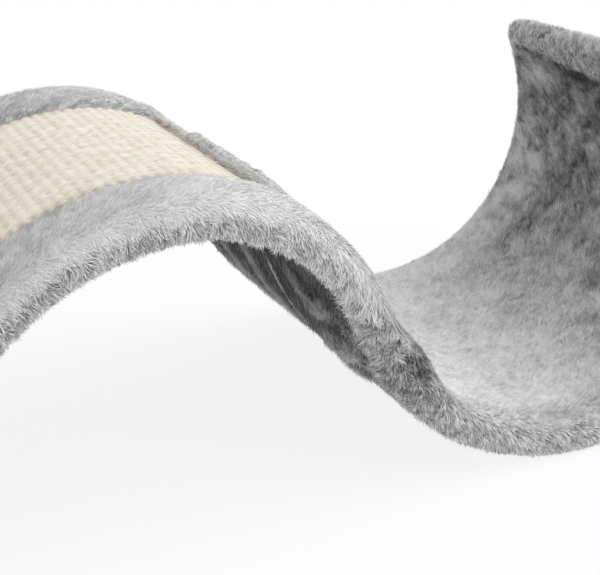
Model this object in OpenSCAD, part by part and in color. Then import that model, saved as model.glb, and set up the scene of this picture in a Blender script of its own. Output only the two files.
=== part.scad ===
// Wave-shaped cat scratcher: a bent plywood board in the shape of a lying S.
// The board rises from a toe into an arch, dips into a trough and curls up to a tip.
// A woven sisal mat lies in a window on the arch, and plush fabric covers the rest.
// +X runs from the toe to the tip, +Y across the board, +Z up; the floor is z = 0.

/* [Wave profile] */
// Radius of the arch between the toe and its crest, at the middle of the board
arch_toe_r = 141; // [120:1:180]
// Radius of the arch between its crest and the leg, at the middle of the board
arch_leg_r = 102; // [70:1:140]
// Steepest slope of the leg between arch and trough, in degrees
leg_slope = 65; // [50:1:75]
// Length of the straight stretch of the leg
leg_l = 23; // [5:1:60]
// Radius of the trough floor, a quarter turn at the middle of the board
trough_r = 148; // [100:1:180]
// Radius of the curved back behind the trough, at the middle of the board
back_r = 123.5; // [90:0.5:180]
// Slope at the tip, in degrees; past 90 the back curls over the trough
tip_slope = 117; // [95:1:135]

/* [Board and plush] */
// Width of the whole scratcher, plush included
overall_w = 270; // [220:1:400]
// Thickness of one of the three plies of the board
ply_t = 2.4; // [1.5:0.1:4]
// Thickness of the plush, backing cloth and pile together
plush_t = 7.8; // [4:0.1:12]
// How far the top plush reaches under the board past its rounded long edges
edge_turn = 2; // [0.5:0.5:30]
// How far the plush is turned over at the toe and the tip
end_turn = 16; // [5:1:30]
// Depth by which the plush is pressed flat where it stands on the floor
foot_flat = 1; // [0.3:0.1:2]
// Distance of the lengthwise seam under the board from the middle, towards the near edge
seam_off = 13; // [0:1:60]

/* [Sisal window] */
// Width of the plush border on each long side of the sisal mat
border_w = 58; // [30:1:80]
// Distance from the arch's crest, along the board, to the mat's end on the leg
window_run = 49; // [20:1:60]
// Plush left below the mat, along the board, at the toe
toe_strip = 45; // [45:1:120]
// Diameter of the rolled plush hem across each end of the mat
hem_d = 11; // [9:0.5:16]
// Gap between the mat and the plush round it
mat_gap = 0.3; // [0.1:0.1:2]
// Thickness of the mat's latex backing
backing_t = 1; // [0.5:0.1:2]
// Thickness of the mat's weave under its ribs
weave_t = 1.8; // [1:0.1:4]
// Distance between the ribs of the weave
rib_pitch = 6.1; // [5:0.1:12]
// Diameter of one rib of the weave
rib_d = 5.6; // [3:0.1:7]
// How far a rib stands out of the weave
rib_rise = 1.8; // [0.5:0.1:2.5]

/* [Staples] */
// Distance between the staples along the turned-under edges
staple_pitch = 60; // [30:1:120]
// Number of staples across the toe and across the tip
staple_count = 5; // [2:1:9]
// Length of a staple's crown
crown_l = 10; // [6:0.5:14]
// Length of a staple's legs
drive_l = 4.5; // [3:0.1:4.5]
// Width of the staple wire
wire_w = 1.2; // [0.6:0.1:2]
// Thickness of the staple wire
wire_t = 0.6; // [0.4:0.1:0.8]
// Distance of the staples inside the edge of the board
staple_inset = 12; // [8:1:30]

/* [Hidden] */
$fn = 96;

// Layers, measured across the board from its middle plane
core_t = 3 * ply_t;
total_t = core_t + 2 * plush_t;
core_w = overall_w - 2 * plush_t;
lining_w = overall_w - total_t - 2 * edge_turn;
window_w = overall_w - 2 * border_w;
mat_w = window_w - 2 * mat_gap;
hem_n = (core_t + hem_d) / 2 + mat_gap;

// Heights of the middle plane over the floor
rest_z = total_t / 2 - foot_flat;
crest_z = rest_z + (arch_leg_r + trough_r) * (1 - cos(leg_slope)) + leg_l * sin(leg_slope);
toe_slope = acos(1 - (crest_z - rest_z) / arch_toe_r);

function degrees_of(run, radius) = run / radius * 180 / PI;
function run_of(angle, radius) = angle * PI / 180 * radius;

// Stations along the middle plane, counted from the crest and negative towards the toe
toe_s = -run_of(toe_slope, arch_toe_r);
leg_s = run_of(leg_slope, arch_leg_r);
trough_s = leg_s + leg_l;
back_slope = 90 - leg_slope;
back_s = trough_s + run_of(90, trough_r);
tip_s = back_s + run_of(tip_slope - back_slope, back_r);
window_s0 = toe_s + toe_strip;
window_s1 = window_run;
toe_cover_s = window_s0 - hem_d / 2;
lounge_s = window_s1 + hem_d / 2;

// Slope and place of the middle plane at a station
function slope_at(s) =
    s < 0 ? -degrees_of(s, arch_toe_r)
    : s < leg_s ? -degrees_of(s, arch_leg_r)
    : s < trough_s ? -leg_slope
    : s < back_s ? degrees_of(s - trough_s, trough_r) - leg_slope
    : degrees_of(s - back_s, back_r) + back_slope;
leg_x = arch_leg_r * sin(leg_slope);
leg_z = crest_z - arch_leg_r * (1 - cos(leg_slope));
trough_x = leg_x + leg_l * cos(leg_slope) + trough_r * sin(leg_slope);
back_x = trough_x + (trough_r - back_r) * sin(back_slope);
back_z = rest_z + trough_r - (trough_r - back_r) * cos(back_slope);
function point_at(s) = let(a = slope_at(s))
    s < 0 ? [-arch_toe_r * sin(a), crest_z - arch_toe_r * (1 - cos(a))]
    : s < leg_s ? [-arch_leg_r * sin(a), crest_z - arch_leg_r * (1 - cos(a))]
    : s < trough_s ? [leg_x + (s - leg_s) * cos(a), leg_z + (s - leg_s) * sin(a)]
    : s < back_s ? [trough_x + trough_r * sin(a), rest_z + trough_r * (1 - cos(a))]
    : [back_x + back_r * sin(a), back_z - back_r * cos(a)];
function point_above(s, n) = point_at(s) + n * [-sin(slope_at(s)), cos(slope_at(s))];

// Middle of the whole length, which lies over the origin
arch_left_x = -arch_toe_r * (toe_slope > 90 ? 1 : sin(toe_slope)) - total_t / 2;
hem_left_x = point_above(toe_cover_s, hem_n)[0] - hem_d / 2;
left_x = min(arch_left_x, hem_left_x);
right_x = back_x + back_r + total_t / 2;
middle_x = (left_x + right_x) / 2;
overall_l = right_x - left_x;

// Outline of a bent layer between two distances above the middle plane
outline_step = 5;
function run_points(s0, s1, n) =
    let(count = ceil((s1 - s0) / outline_step))
    [for (i = [0 : count]) point_above(s0 + (s1 - s0) * i / count, n)];
function reversed(list) = [for (i = [len(list) - 1 : -1 : 0]) list[i]];
function layer_outline(s0, s1, low, high) =
    concat(run_points(s0, s1, low), reversed(run_points(s0, s1, high)));

// Ribs of the sisal: round backs on the weave, with a valley left between two ribs
rib_facets = 8;
valley_w = 0.4;
mat_s0 = window_s0 + mat_gap;
mat_s1 = window_s1 - mat_gap;
weave_n = core_t / 2 + backing_t;
rib_n = weave_n + weave_t;
rib_count = floor((mat_s1 - mat_s0) / rib_pitch);
rib_s0 = (mat_s0 + mat_s1 - (rib_count - 1) * rib_pitch) / 2;
rib_angle = min(acos(1 - 2 * rib_rise / rib_d), asin(min(1, (rib_pitch - valley_w) / rib_d)));
function rib_point(s, a) =
    point_above(s + rib_d / 2 * sin(a), rib_n + rib_rise - rib_d / 2 * (1 - cos(a)));
rib_points = [
    for (i = [0 : rib_count - 1], k = [0 : rib_facets])
        rib_point(rib_s0 + i * rib_pitch, rib_angle * (2 * k / rib_facets - 1))
];
mat_outline = concat(
    run_points(mat_s0, mat_s1, weave_n),
    [point_above(mat_s1, rib_n)], reversed(rib_points), [point_above(mat_s0, rib_n)]
);

// Colours as the photograph shows them
PLUSH = "#b4b4b6";
LINING = "#8b8b8e";
SISAL = "#e9e0c6";
LATEX = "#d9d2bd";
FACE_PLY = "#d8b98a";
CROSS_PLY = "#c49f6c";
STEEL = "#b7babd";

// Outline of the dressed board: flat faces and half-round long edges. In every section
// X is the distance above the middle plane, and Y runs towards the near edge.
module dressed_section() {
    edge_y = (overall_w - total_t) / 2;
    square([total_t, 2 * edge_y], center = true);
    for (side = [-1, 1])
        translate([0, side * edge_y]) circle(d = total_t);
}

// Plush all round the board, as at the toe and the tip
module ring_section() {
    difference() {
        dressed_section();
        square([core_t, core_w], center = true);
    }
}

// Top plush with its turned-under long edges, which leaves room for the lining
module cover_section() {
    difference() {
        ring_section();
        translate([-total_t, -lining_w / 2]) square([total_t - core_t / 2, lining_w]);
    }
}

// One long side of the top plush, with a folded edge along the window
module border_section() {
    fold_y = window_w / 2 + plush_t / 2;
    difference() {
        cover_section();
        translate([-total_t, -overall_w]) square([2 * total_t, overall_w + fold_y]);
    }
    translate([(core_t + plush_t) / 2, fold_y]) circle(d = plush_t);
}

// Turns a section's X up, its Y to the near edge and its sweep along X
module upright() {
    rotate([180, -90, 0]) children();
}

// Sweeps a section along an arc that leaves the origin along X and bends up (1) or down (-1)
module arc_sweep(radius, bend, run0, run1) {
    first = degrees_of(run0 >= 0 ? run0 : run1, radius);
    last = degrees_of(run0 >= 0 ? run1 : run0, radius);
    translate([0, 0, bend * radius]) rotate([90, 0, 0]) rotate(bend * (first - 90))
        rotate_extrude(angle = bend * (last - first)) translate([radius, 0])
            mirror([bend > 0 ? 1 : 0, 0]) children();
}

// Sweeps a section over the arch between two stations, drawn from the crest
module arch_sweep(s0, s1) {
    translate([0, 0, crest_z]) {
        if (s0 < 0) arc_sweep(arch_toe_r, -1, s0, min(s1, 0)) children();
        if (s1 > 0) arc_sweep(arch_leg_r, -1, max(s0, 0), s1) children();
    }
}

// Sweeps a section down the leg and through the trough, drawn from the top of the leg
module leg_sweep(s0, s1) {
    low = max(s0, leg_s) - leg_s;
    high = min(s1, trough_s) - leg_s;
    translate([leg_x, 0, leg_z]) rotate([0, leg_slope, 0]) {
        if (s0 < leg_s) arc_sweep(arch_leg_r, -1, s0 - leg_s, min(s1 - leg_s, 0)) children();
        if (high > low) translate([low, 0, 0]) upright() linear_extrude(high - low) children();
        translate([leg_l, 0, 0]) {
            if (s1 > trough_s)
                arc_sweep(trough_r, 1, max(s0, trough_s) - trough_s, min(s1, back_s) - trough_s)
                    children();
            if (s1 > back_s)
                translate([trough_r, 0, trough_r]) rotate([0, -90, 0])
                    arc_sweep(back_r, 1, max(s0, back_s) - back_s, s1 - back_s) children();
        }
    }
}

// Stretches an outline of the wave across the board
module across(y0, y1) {
    translate([0, y1, 0]) rotate([90, 0, 0]) linear_extrude(y1 - y0) children();
}

// Places a piece drawn along X at a station
module at_station(s) {
    p = point_at(s);
    translate([p[0], 0, p[1]]) rotate([0, -slope_at(s), 0]) children();
}

// Half-round plush past an end of the board that lies along X
module end_round(side) {
    rotate([90, 0, 0]) rotate(-90) rotate_extrude(angle = side * 180) intersection() {
        dressed_section();
        translate([0, -overall_w]) square([total_t, 2 * overall_w]);
    }
}

// Rolled hem across the window at one end of the mat
module rolled_hem(s) {
    at_station(s) translate([0, 0, hem_n]) rotate([90, 0, 0])
        cylinder(d = hem_d, h = mat_w, center = true);
}

// Centres the part over the origin
module placed() {
    translate([-middle_x, 0, 0]) children();
}

// Centres plush over the origin and presses it flat on the floor
module placed_on_floor() {
    difference() {
        placed() children();
        translate([-overall_l, -overall_w, -total_t]) cube([2 * overall_l, 2 * overall_w, total_t]);
    }
}

// Staple driven flush into the underside: a crown across the board and two legs
module staple() {
    translate([-wire_w / 2, -crown_l / 2, -core_t / 2]) cube([wire_w, crown_l, wire_t]);
    for (leg_y = [-crown_l / 2, crown_l / 2 - wire_t])
        translate([-wire_w / 2, leg_y, -core_t / 2]) cube([wire_w, wire_t, drive_l]);
}

module staples() {
    side_y = core_w / 2 - staple_inset;
    side_count = floor((tip_s - toe_s - 2 * staple_inset) / staple_pitch);
    side_s0 = (tip_s + toe_s - (side_count - 1) * staple_pitch) / 2;
    for (side = [-1, 1], i = [0 : side_count - 1])
        at_station(side_s0 + i * staple_pitch) translate([0, side * side_y, 0]) staple();
    inner_y = side_y - 2 * crown_l;
    for (s = [toe_s + staple_inset, tip_s - staple_inset], i = [0 : staple_count - 1])
        at_station(s) translate([0, inner_y * (2 * i / (staple_count - 1) - 1), 0]) staple();
}

module ply(index) {
    low = -core_t / 2 + index * ply_t;
    difference() {
        across(-core_w / 2, core_w / 2) polygon(layer_outline(toe_s, tip_s, low, low + ply_t));
        staples();
    }
}

module core_bottom_ply() {
    color(FACE_PLY) placed() ply(0);
}

module core_middle_ply() {
    color(CROSS_PLY) placed() ply(1);
}

module core_top_ply() {
    color(FACE_PLY) placed() ply(2);
}

module cover_staples() {
    color(STEEL) placed() staples();
}

module mat_backing() {
    color(LATEX) placed() across(-mat_w / 2, mat_w / 2)
        polygon(layer_outline(mat_s0, mat_s1, core_t / 2, weave_n));
}

module sisal_mat() {
    color(SISAL) placed() across(-mat_w / 2, mat_w / 2) polygon(mat_outline);
}

module near_border_cover() {
    color(PLUSH) placed() arch_sweep(toe_cover_s, lounge_s) border_section();
}

module far_border_cover() {
    color(PLUSH) placed() arch_sweep(toe_cover_s, lounge_s) mirror([0, 1]) border_section();
}

// Top plush from the mat's end on the leg and through the trough
module lounge_cover() {
    color(PLUSH) placed_on_floor() {
        rolled_hem(lounge_s);
        leg_sweep(lounge_s, tip_s - end_turn) cover_section();
    }
}

// Top plush below the mat
module toe_cover() {
    color(PLUSH) placed() {
        rolled_hem(toe_cover_s);
        arch_sweep(toe_s + end_turn, toe_cover_s) cover_section();
    }
}

// Plush turned over the tip
module tip_edge_cover() {
    color(PLUSH) placed() at_station(tip_s) {
        arc_sweep(back_r, 1, -end_turn, 0) ring_section();
        end_round(1);
    }
}

// Plush turned under the toe, which stands on the floor
module toe_edge_cover() {
    color(PLUSH) placed_on_floor() at_station(toe_s) {
        arc_sweep(arch_toe_r, -1, 0, end_turn) ring_section();
        end_round(-1);
    }
}

// Plush under the board between two places across it, which stands on the floor at the trough
module lining(y0, y1) {
    color(LINING) placed_on_floor() across(y0, y1)
        polygon(layer_outline(toe_s + end_turn, tip_s - end_turn, -total_t / 2, -core_t / 2));
}

module near_lining() {
    lining(-lining_w / 2, -seam_off);
}

module far_lining() {
    lining(-seam_off, lining_w / 2);
}

core_bottom_ply();
core_middle_ply();
core_top_ply();
cover_staples();
mat_backing();
sisal_mat();
near_border_cover();
far_border_cover();
lounge_cover();
toe_cover();
tip_edge_cover();
toe_edge_cover();
near_lining();
far_lining();
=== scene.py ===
"""Cat scratcher: a wave of bent board dressed in grey plush, with a woven sisal mat on its arch.

Lengths are in metres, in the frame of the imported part: +X runs from the toe to the tip, +Y across the board
away from the near edge, +Z up. A run along the board is counted from the crest of its arch, and a run round
its section from the middle of the top.
"""

import math
from dataclasses import dataclass

import bmesh
import bpy
from bpy.props import FloatProperty, FloatVectorProperty, IntProperty, PointerProperty
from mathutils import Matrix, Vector, noise


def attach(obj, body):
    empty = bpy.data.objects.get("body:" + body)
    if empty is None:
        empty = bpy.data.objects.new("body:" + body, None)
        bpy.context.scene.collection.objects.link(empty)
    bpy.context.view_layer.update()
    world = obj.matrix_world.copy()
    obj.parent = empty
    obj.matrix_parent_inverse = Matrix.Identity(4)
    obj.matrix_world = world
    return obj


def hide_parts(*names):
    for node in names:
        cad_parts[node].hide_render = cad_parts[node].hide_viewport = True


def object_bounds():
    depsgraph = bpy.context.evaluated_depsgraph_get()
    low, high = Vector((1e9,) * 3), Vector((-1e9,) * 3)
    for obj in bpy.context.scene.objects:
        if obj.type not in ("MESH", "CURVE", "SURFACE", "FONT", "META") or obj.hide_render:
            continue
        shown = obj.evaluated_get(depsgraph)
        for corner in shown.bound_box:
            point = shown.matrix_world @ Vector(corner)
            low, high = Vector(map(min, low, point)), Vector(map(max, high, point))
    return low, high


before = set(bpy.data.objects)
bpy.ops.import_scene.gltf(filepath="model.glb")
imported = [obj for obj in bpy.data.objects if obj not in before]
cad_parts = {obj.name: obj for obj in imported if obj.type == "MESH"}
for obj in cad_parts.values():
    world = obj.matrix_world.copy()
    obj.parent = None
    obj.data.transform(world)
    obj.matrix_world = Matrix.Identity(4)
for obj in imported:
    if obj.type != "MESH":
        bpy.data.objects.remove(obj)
CAD_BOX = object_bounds()

bl_info = {
    "name": "Sisal Cat Scratcher",
    "version": (1, 0, 0),
    "blender": (4, 5, 0),
    "location": "View3D > Sidebar > Scratcher",
    "description": "Dresses a bent board in plush pile and woven sisal",
    "category": "Add Mesh",
}

MM = 0.001
ACROSS = Vector((0, 1, 0))
WHITE = (1, 1, 1, 1)
# Half the side of the floor, in metres.
FLOOR_HALF = 40
# Height at which strands are pressed flat on the floor.
FLOOR_GAP = 0.15 * MM
# Width in pixels of the picture that the focal length is counted in, and of the film in mm.
IMAGE_W = 600
FILM_W = 36

# The fluffy band over the tip: how far it stands out, and over what run it starts.
BAND_LIFT = 1.2 * MM
BAND_START = 3 * MM

# Steps of the grids that cloth and the lay of its pile are worked out on, and how near doubled vertices lie.
CLOTH_STEP = 3.5 * MM
COMB_STEP = 2 * MM
WELD = 0.02 * MM
# Steps along a loop of yarn, and from rib to rib.
WEAVE_STEPS = 4
WEAVE_MAP = "weave"

# Map of a strand: tone of its patch across, height up.
STRAND_MAP = "OFBake"
MAP_MARGIN = 0.02
MAP_SPAN = 1 - 2 * MAP_MARGIN
# Half the width of the column that a strand takes of that map.
COLUMN_HALF = 0.006
# Joints and bow of the two kinds of strand.
STRAND_KINDS = {"straight_strand": (1, 0), "bowed_strand": (2, 0.16)}
PILE_LAYERS = ("lay", "grow", "reach", "shade")
# Step from the seed of a cover's smooth pile to that of its fluffy pile.
EDGE_SEED = 50

# Sockets of a Mix node that mixes colours: their names are shared with other kinds of value.
SHARE, FIRST, SECOND, MIXED = 0, 6, 7, 2


# Settings that a user would change


def length(name, description, mm):
    return FloatProperty(name=name, description=description, default=mm * MM, unit="LENGTH", precision=5)


def angle(name, description, degrees):
    return FloatProperty(name=name, description=description, default=math.radians(degrees), subtype="ANGLE")


def share(name, description, value):
    return FloatProperty(name=name, description=description, default=value, subtype="FACTOR")


def strands(per_mm2):
    return IntProperty(name="Density", description="Strands per square metre", default=round(per_mm2 / MM**2))


def linear(hex_colour):
    """Linear RGB of an sRGB hex value."""
    parts = [int(hex_colour[i : i + 2], 16) / 255 for i in (1, 3, 5)]
    return tuple(p / 12.92 if p <= 0.04045 else ((p + 0.055) / 1.055) ** 2.4 for p in parts)


def colour(name, description, hex_colour):
    return FloatVectorProperty(
        name=name, description=description, default=linear(hex_colour), subtype="COLOR", min=0, max=1
    )


class WaveSizes(bpy.types.PropertyGroup):
    """Profile of the bent board, at its middle plane"""

    arch_toe_r: length("Toe radius", "Radius of the arch between toe and crest", 141)
    arch_leg_r: length("Leg radius", "Radius of the arch between crest and leg", 102)
    leg_slope: angle("Leg slope", "Steepest slope of the leg", 65)
    leg_l: length("Leg length", "Straight stretch of the leg", 23)
    trough_r: length("Trough radius", "Radius of the trough floor, a quarter turn", 148)
    back_r: length("Back radius", "Radius of the curved back", 123.5)
    tip_slope: angle("Tip slope", "Slope at the tip; past 90 degrees the back curls over", 117)
    foot_flat: length("Flat foot", "Depth by which the plush is pressed flat on the floor", 1)


class BoardSizes(bpy.types.PropertyGroup):
    """Layers of the dressed board"""

    overall_w: length("Width", "Width of the dressed board", (CAD_BOX[1].y - CAD_BOX[0].y) / MM)
    core_t: length("Board thickness", "Thickness of the three plies", 7.2)
    total_t: length("Dressed thickness", "Thickness with the plush on both faces", 22.8)
    edge_turn: length("Edge turn", "How far the top plush reaches under the board past its edges", 2)
    end_turn: length("End turn", "How far the plush is turned over at toe and tip", 16)
    seam_off: length("Seam offset", "Seam under the board, from the middle towards the near edge", 13)
    cloth_t: length("Cloth thickness", "Thickness of the backing cloth of the plush", 1.2)
    pile_t: length("Pile height", "Height of the combed pile over its cloth", 2.2)
    fold_r: length("Fold radius", "Radius of the folded plush along the mat", 3)


class SisalSizes(bpy.types.PropertyGroup):
    """Window in the plush and the sisal mat in it"""

    border_w: length("Border width", "Plush on each long side of the mat", 58)
    window_run: length("Window run", "Run from the crest to the mat's end on the leg", 49)
    toe_strip: length("Toe strip", "Plush left below the mat at the toe", 45)
    hem_d: length("Hem diameter", "Rolled plush across each end of the mat", 11)
    mat_gap: length("Mat gap", "Gap between the mat and the plush round it", 0.3)
    backing_t: length("Backing thickness", "Latex under the weave", 1)
    weave_t: length("Weave thickness", "Weave under its ribs", 1.8)
    rib_pitch: length("Rib pitch", "Distance between the ribs", 6.1)
    rib_rise: length("Rib rise", "How far a rib stands out of the weave", 1.8)
    loop_pitch: length("Loop pitch", "Distance between the yarns that cross a rib", 2.1)


def pile_style(reach, width, lean, swirl, patch, density, straying, variety, depth, tufting):
    """Settings of one style of pile, by name."""
    return {
        "reach": length("Strand length", "Length of a strand", reach),
        "width": length("Strand width", "Width of a strand at its root", width),
        "lean": angle("Lean", "Lean of the strands from upright", lean),
        "swirl": angle("Swirl", "How far the lay turns from patch to patch", swirl),
        "patch": length("Patch", "Size of the patches or tufts that lie one way", patch),
        "density": strands(density),
        "straying": share("Straying", "How far a strand strays from its neighbours", straying),
        "variety": share("Variety", "Difference in tone between neighbours", variety),
        # Depth sets how far the painted shade at the root reaches up a strand.
        "depth": share("Depth", "How much of the dark root shows", depth),
        "tufting": share("Tufting", "Difference in length and tone between tufts", tufting),
    }


class FacePile(bpy.types.PropertyGroup):
    """Short smooth pile on the faces of the board"""

    __annotations__ = pile_style(
        reach=3, width=0.5, lean=61, swirl=40, patch=8,
        density=3, straying=0.32, variety=0.3, depth=0.45, tufting=0.12
    )


class EdgePile(bpy.types.PropertyGroup):
    """Longer fluffy pile on the edges of the board"""

    __annotations__ = pile_style(
        reach=6, width=0.45, lean=72, swirl=60, patch=5.5,
        density=3, straying=0.3, variety=0.28, depth=1, tufting=0.55
    )


class LiningPile(bpy.types.PropertyGroup):
    """Slack pile under the board"""

    __annotations__ = pile_style(
        reach=5, width=0.44, lean=68, swirl=45, patch=9,
        density=1.5, straying=0.26, variety=0.34, depth=0.8, tufting=0.45
    )


class StrayFibre(bpy.types.PropertyGroup):
    """Loose fibres on the sisal mat, drawn about as fine as the picture can show"""

    __annotations__ = pile_style(
        reach=7, width=0.22, lean=84, swirl=45, patch=5,
        density=0.2, straying=0.2, variety=0.4, depth=0.5, tufting=0
    )


class Colours(bpy.types.PropertyGroup):
    """Colours of the finishes"""

    plush_light: colour("Light plush", "Tips of the light pile", "#f4f4f4")
    # The dark plush tone serves both pile brushed the other way and the painted shade that top_tone lays on.
    plush_nap_and_shade: colour("Dark plush", "Tips where the pile is brushed the other way", "#434343")
    lining_light: colour("Light lining", "Tips of the lining's pile", "#d6d6d6")
    # The dark lining tone is painted shade: the lining is the same plush as the top, kept dark under the
    # board by this tone.
    lining_shade: colour("Dark lining", "Tips of the lining's pile in its folds", "#1c1c1c")
    # Painted shade among the roots: how dark a strand's root is painted against its tip.
    root_shade: share("Root shade", "Tone of a strand's root against its tip", 0.5)
    seam: colour("Seam", "Bare edge of cloth at the seam under the board", "#c8c8c8")
    sisal_light: colour("Light sisal", "Backs of the sisal ribs", "#e8e2d7")
    sisal_warm: colour("Warm sisal", "Yellower fibres among the ribs", "#e0d8c4")
    # Painted shade of the weave, in its pits, along its edges and by the roll; also the darker tone of loose
    # fibres.
    sisal_pit: colour("Sisal pit", "Shaded pits of the weave", "#a2967d")
    latex: colour("Latex", "Backing of the mat", "#d9d2bd")
    ply_light: colour("Light wood", "Early wood of the plies", "#d8b98a")
    ply_dark: colour("Dark wood", "Late wood of the plies", "#a97f4c")
    wire: colour("Wire", "Galvanised staple wire", "#b7babd")
    paper: colour("Paper", "Studio light table", "#595959")


class StudioSettings(bpy.types.PropertyGroup):
    """Camera and lights"""

    camera_x: length("Camera X", "Camera along the board, from the crest", -180.47)
    camera_y: length("Camera Y", "Camera across the board", -612.09)
    camera_z: length("Camera Z", "Camera over the floor", 350.06)
    camera_yaw: angle("Yaw", "Turn of the view from +Y towards +X", 25.72)
    camera_pitch: angle("Pitch", "Tilt of the view below the horizon", 21.92)
    focal_px: FloatProperty(name="Focal length", description="In pixels of the picture", default=1197.8)
    key_side: angle("Key side", "Lean of the soft key light towards the tip", 30)
    key_front: angle("Key front", "Lean of the soft key light towards the camera", 18)
    key_spread: angle("Key spread", "Angle that the soft key light fills", 80)
    key_power: FloatProperty(name="Key light", description="Strength of the soft key light", default=2.3)
    sky: share("Sky", "Strength of the white surroundings", 0.6)
    table_glow: share("Table glow", "Light that comes up through the table", 0.87)


class ScratcherSettings(bpy.types.PropertyGroup):
    """All settings of the scratcher"""

    wave: PointerProperty(type=WaveSizes)
    board: PointerProperty(type=BoardSizes)
    sisal: PointerProperty(type=SisalSizes)
    face: PointerProperty(type=FacePile)
    edge: PointerProperty(type=EdgePile)
    lining: PointerProperty(type=LiningPile)
    fibre: PointerProperty(type=StrayFibre)
    colours: PointerProperty(type=Colours)
    studio: PointerProperty(type=StudioSettings)


def settings():
    return bpy.context.scene.scratcher


# The bent board and the cloth on it


def smooth_step(x):
    x = min(max(x, 0), 1)
    return x * x * (3 - 2 * x)


def ramp(x, start, run):
    """Rises smoothly from 0 at a start to 1 a run further on, both in mm."""
    return smooth_step((x - start * MM) / (run * MM))


def bell(x, middle, width):
    """1 at a middle, falling off on both sides of it over a width, both in mm."""
    off = (x - middle * MM) / (width * MM)
    return math.exp(-off * off)


def patches(place, size, seed):
    """Soft noise, about -1 to 1, with patches of a given size."""
    return noise.fractal(place / size + Vector((seed, 0, 0)), 0.6, 2.0, 3)


class Wave:
    """Middle plane of the board. Each stretch is a start run, place and slope with one curvature."""

    def __init__(self, wave, board, sisal):
        half_t = board.total_t / 2
        rest_z = half_t - wave.foot_flat
        drop = (wave.arch_leg_r + wave.trough_r) * (1 - math.cos(wave.leg_slope))
        crest_z = rest_z + drop + wave.leg_l * math.sin(wave.leg_slope)
        toe_slope = math.acos(1 - (crest_z - rest_z) / wave.arch_toe_r)
        self.toe_s = -toe_slope * wave.arch_toe_r
        self.toe_stretch = (0, 0, crest_z, 0, -1 / wave.arch_toe_r)
        self.stretches = [(0, 0, crest_z, 0, -1 / wave.arch_leg_r)]
        self.leg_s = wave.leg_slope * wave.arch_leg_r
        self.trough_s = self.leg_s + wave.leg_l
        self.back_s = self.trough_s + math.pi / 2 * wave.trough_r
        bends = {self.leg_s: 0, self.trough_s: 1 / wave.trough_r, self.back_s: 1 / wave.back_r}
        for start, bend in bends.items():
            self.stretches.append((start, *self.profile(start), bend))
        back_slope = self.stretches[-1][3]
        self.tip_s = self.back_s + (wave.tip_slope - back_slope) * wave.back_r
        upright_s = self.back_s + (math.pi / 2 - back_slope) * wave.back_r
        self.middle_x = self.profile(upright_s)[0] + half_t - CAD_BOX[1].x
        self.window_s0 = self.toe_s + sisal.toe_strip
        self.window_s1 = sisal.window_run
        self.toe_cover_s = self.window_s0 - sisal.hem_d / 2
        self.lounge_s = self.window_s1 + sisal.hem_d / 2

    def profile(self, s):
        """X, Z and slope of the middle plane, with X counted from the crest."""
        if s < 0:
            start, x, z, slope, bend = self.toe_stretch
        else:
            start, x, z, slope, bend = [stretch for stretch in self.stretches if stretch[0] <= s][-1]
        run = s - start
        if bend == 0:
            return x + run * math.cos(slope), z + run * math.sin(slope), slope
        turned = slope + run * bend
        turned_x = x + (math.sin(turned) - math.sin(slope)) / bend
        return turned_x, z - (math.cos(turned) - math.cos(slope)) / bend, turned

    def axes(self, s):
        """Ways along the board and up from it."""
        slope = self.profile(s)[2]
        return Vector((math.cos(slope), 0, math.sin(slope))), Vector((-math.sin(slope), 0, math.cos(slope)))

    def place(self, s, y, n):
        """Place at a run along the board, a distance across it and a height over its middle plane."""
        x, z, slope = self.profile(s)
        return Vector((x - n * math.sin(slope) - self.middle_x, y, z + n * math.cos(slope)))


@dataclass
class Spot:
    """A place on the cloth, with the ways out of it, along the board and on round the edge."""

    place: Vector
    out: Vector
    along: Vector
    onward: Vector
    s: float
    y: float
    turn: float = 0  # angle round the edge, from the top
    edge: float = 0  # 0 on a smooth face, 1 on the fluffy edge
    drift: float = 0  # how far the lay turns towards the edge
    bare: float = 0  # share of the cloth that shows at a seam
    trim: float = 1  # length of the strands against their style's
    rise: float = 0  # share of the height of a fold or a roll


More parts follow.
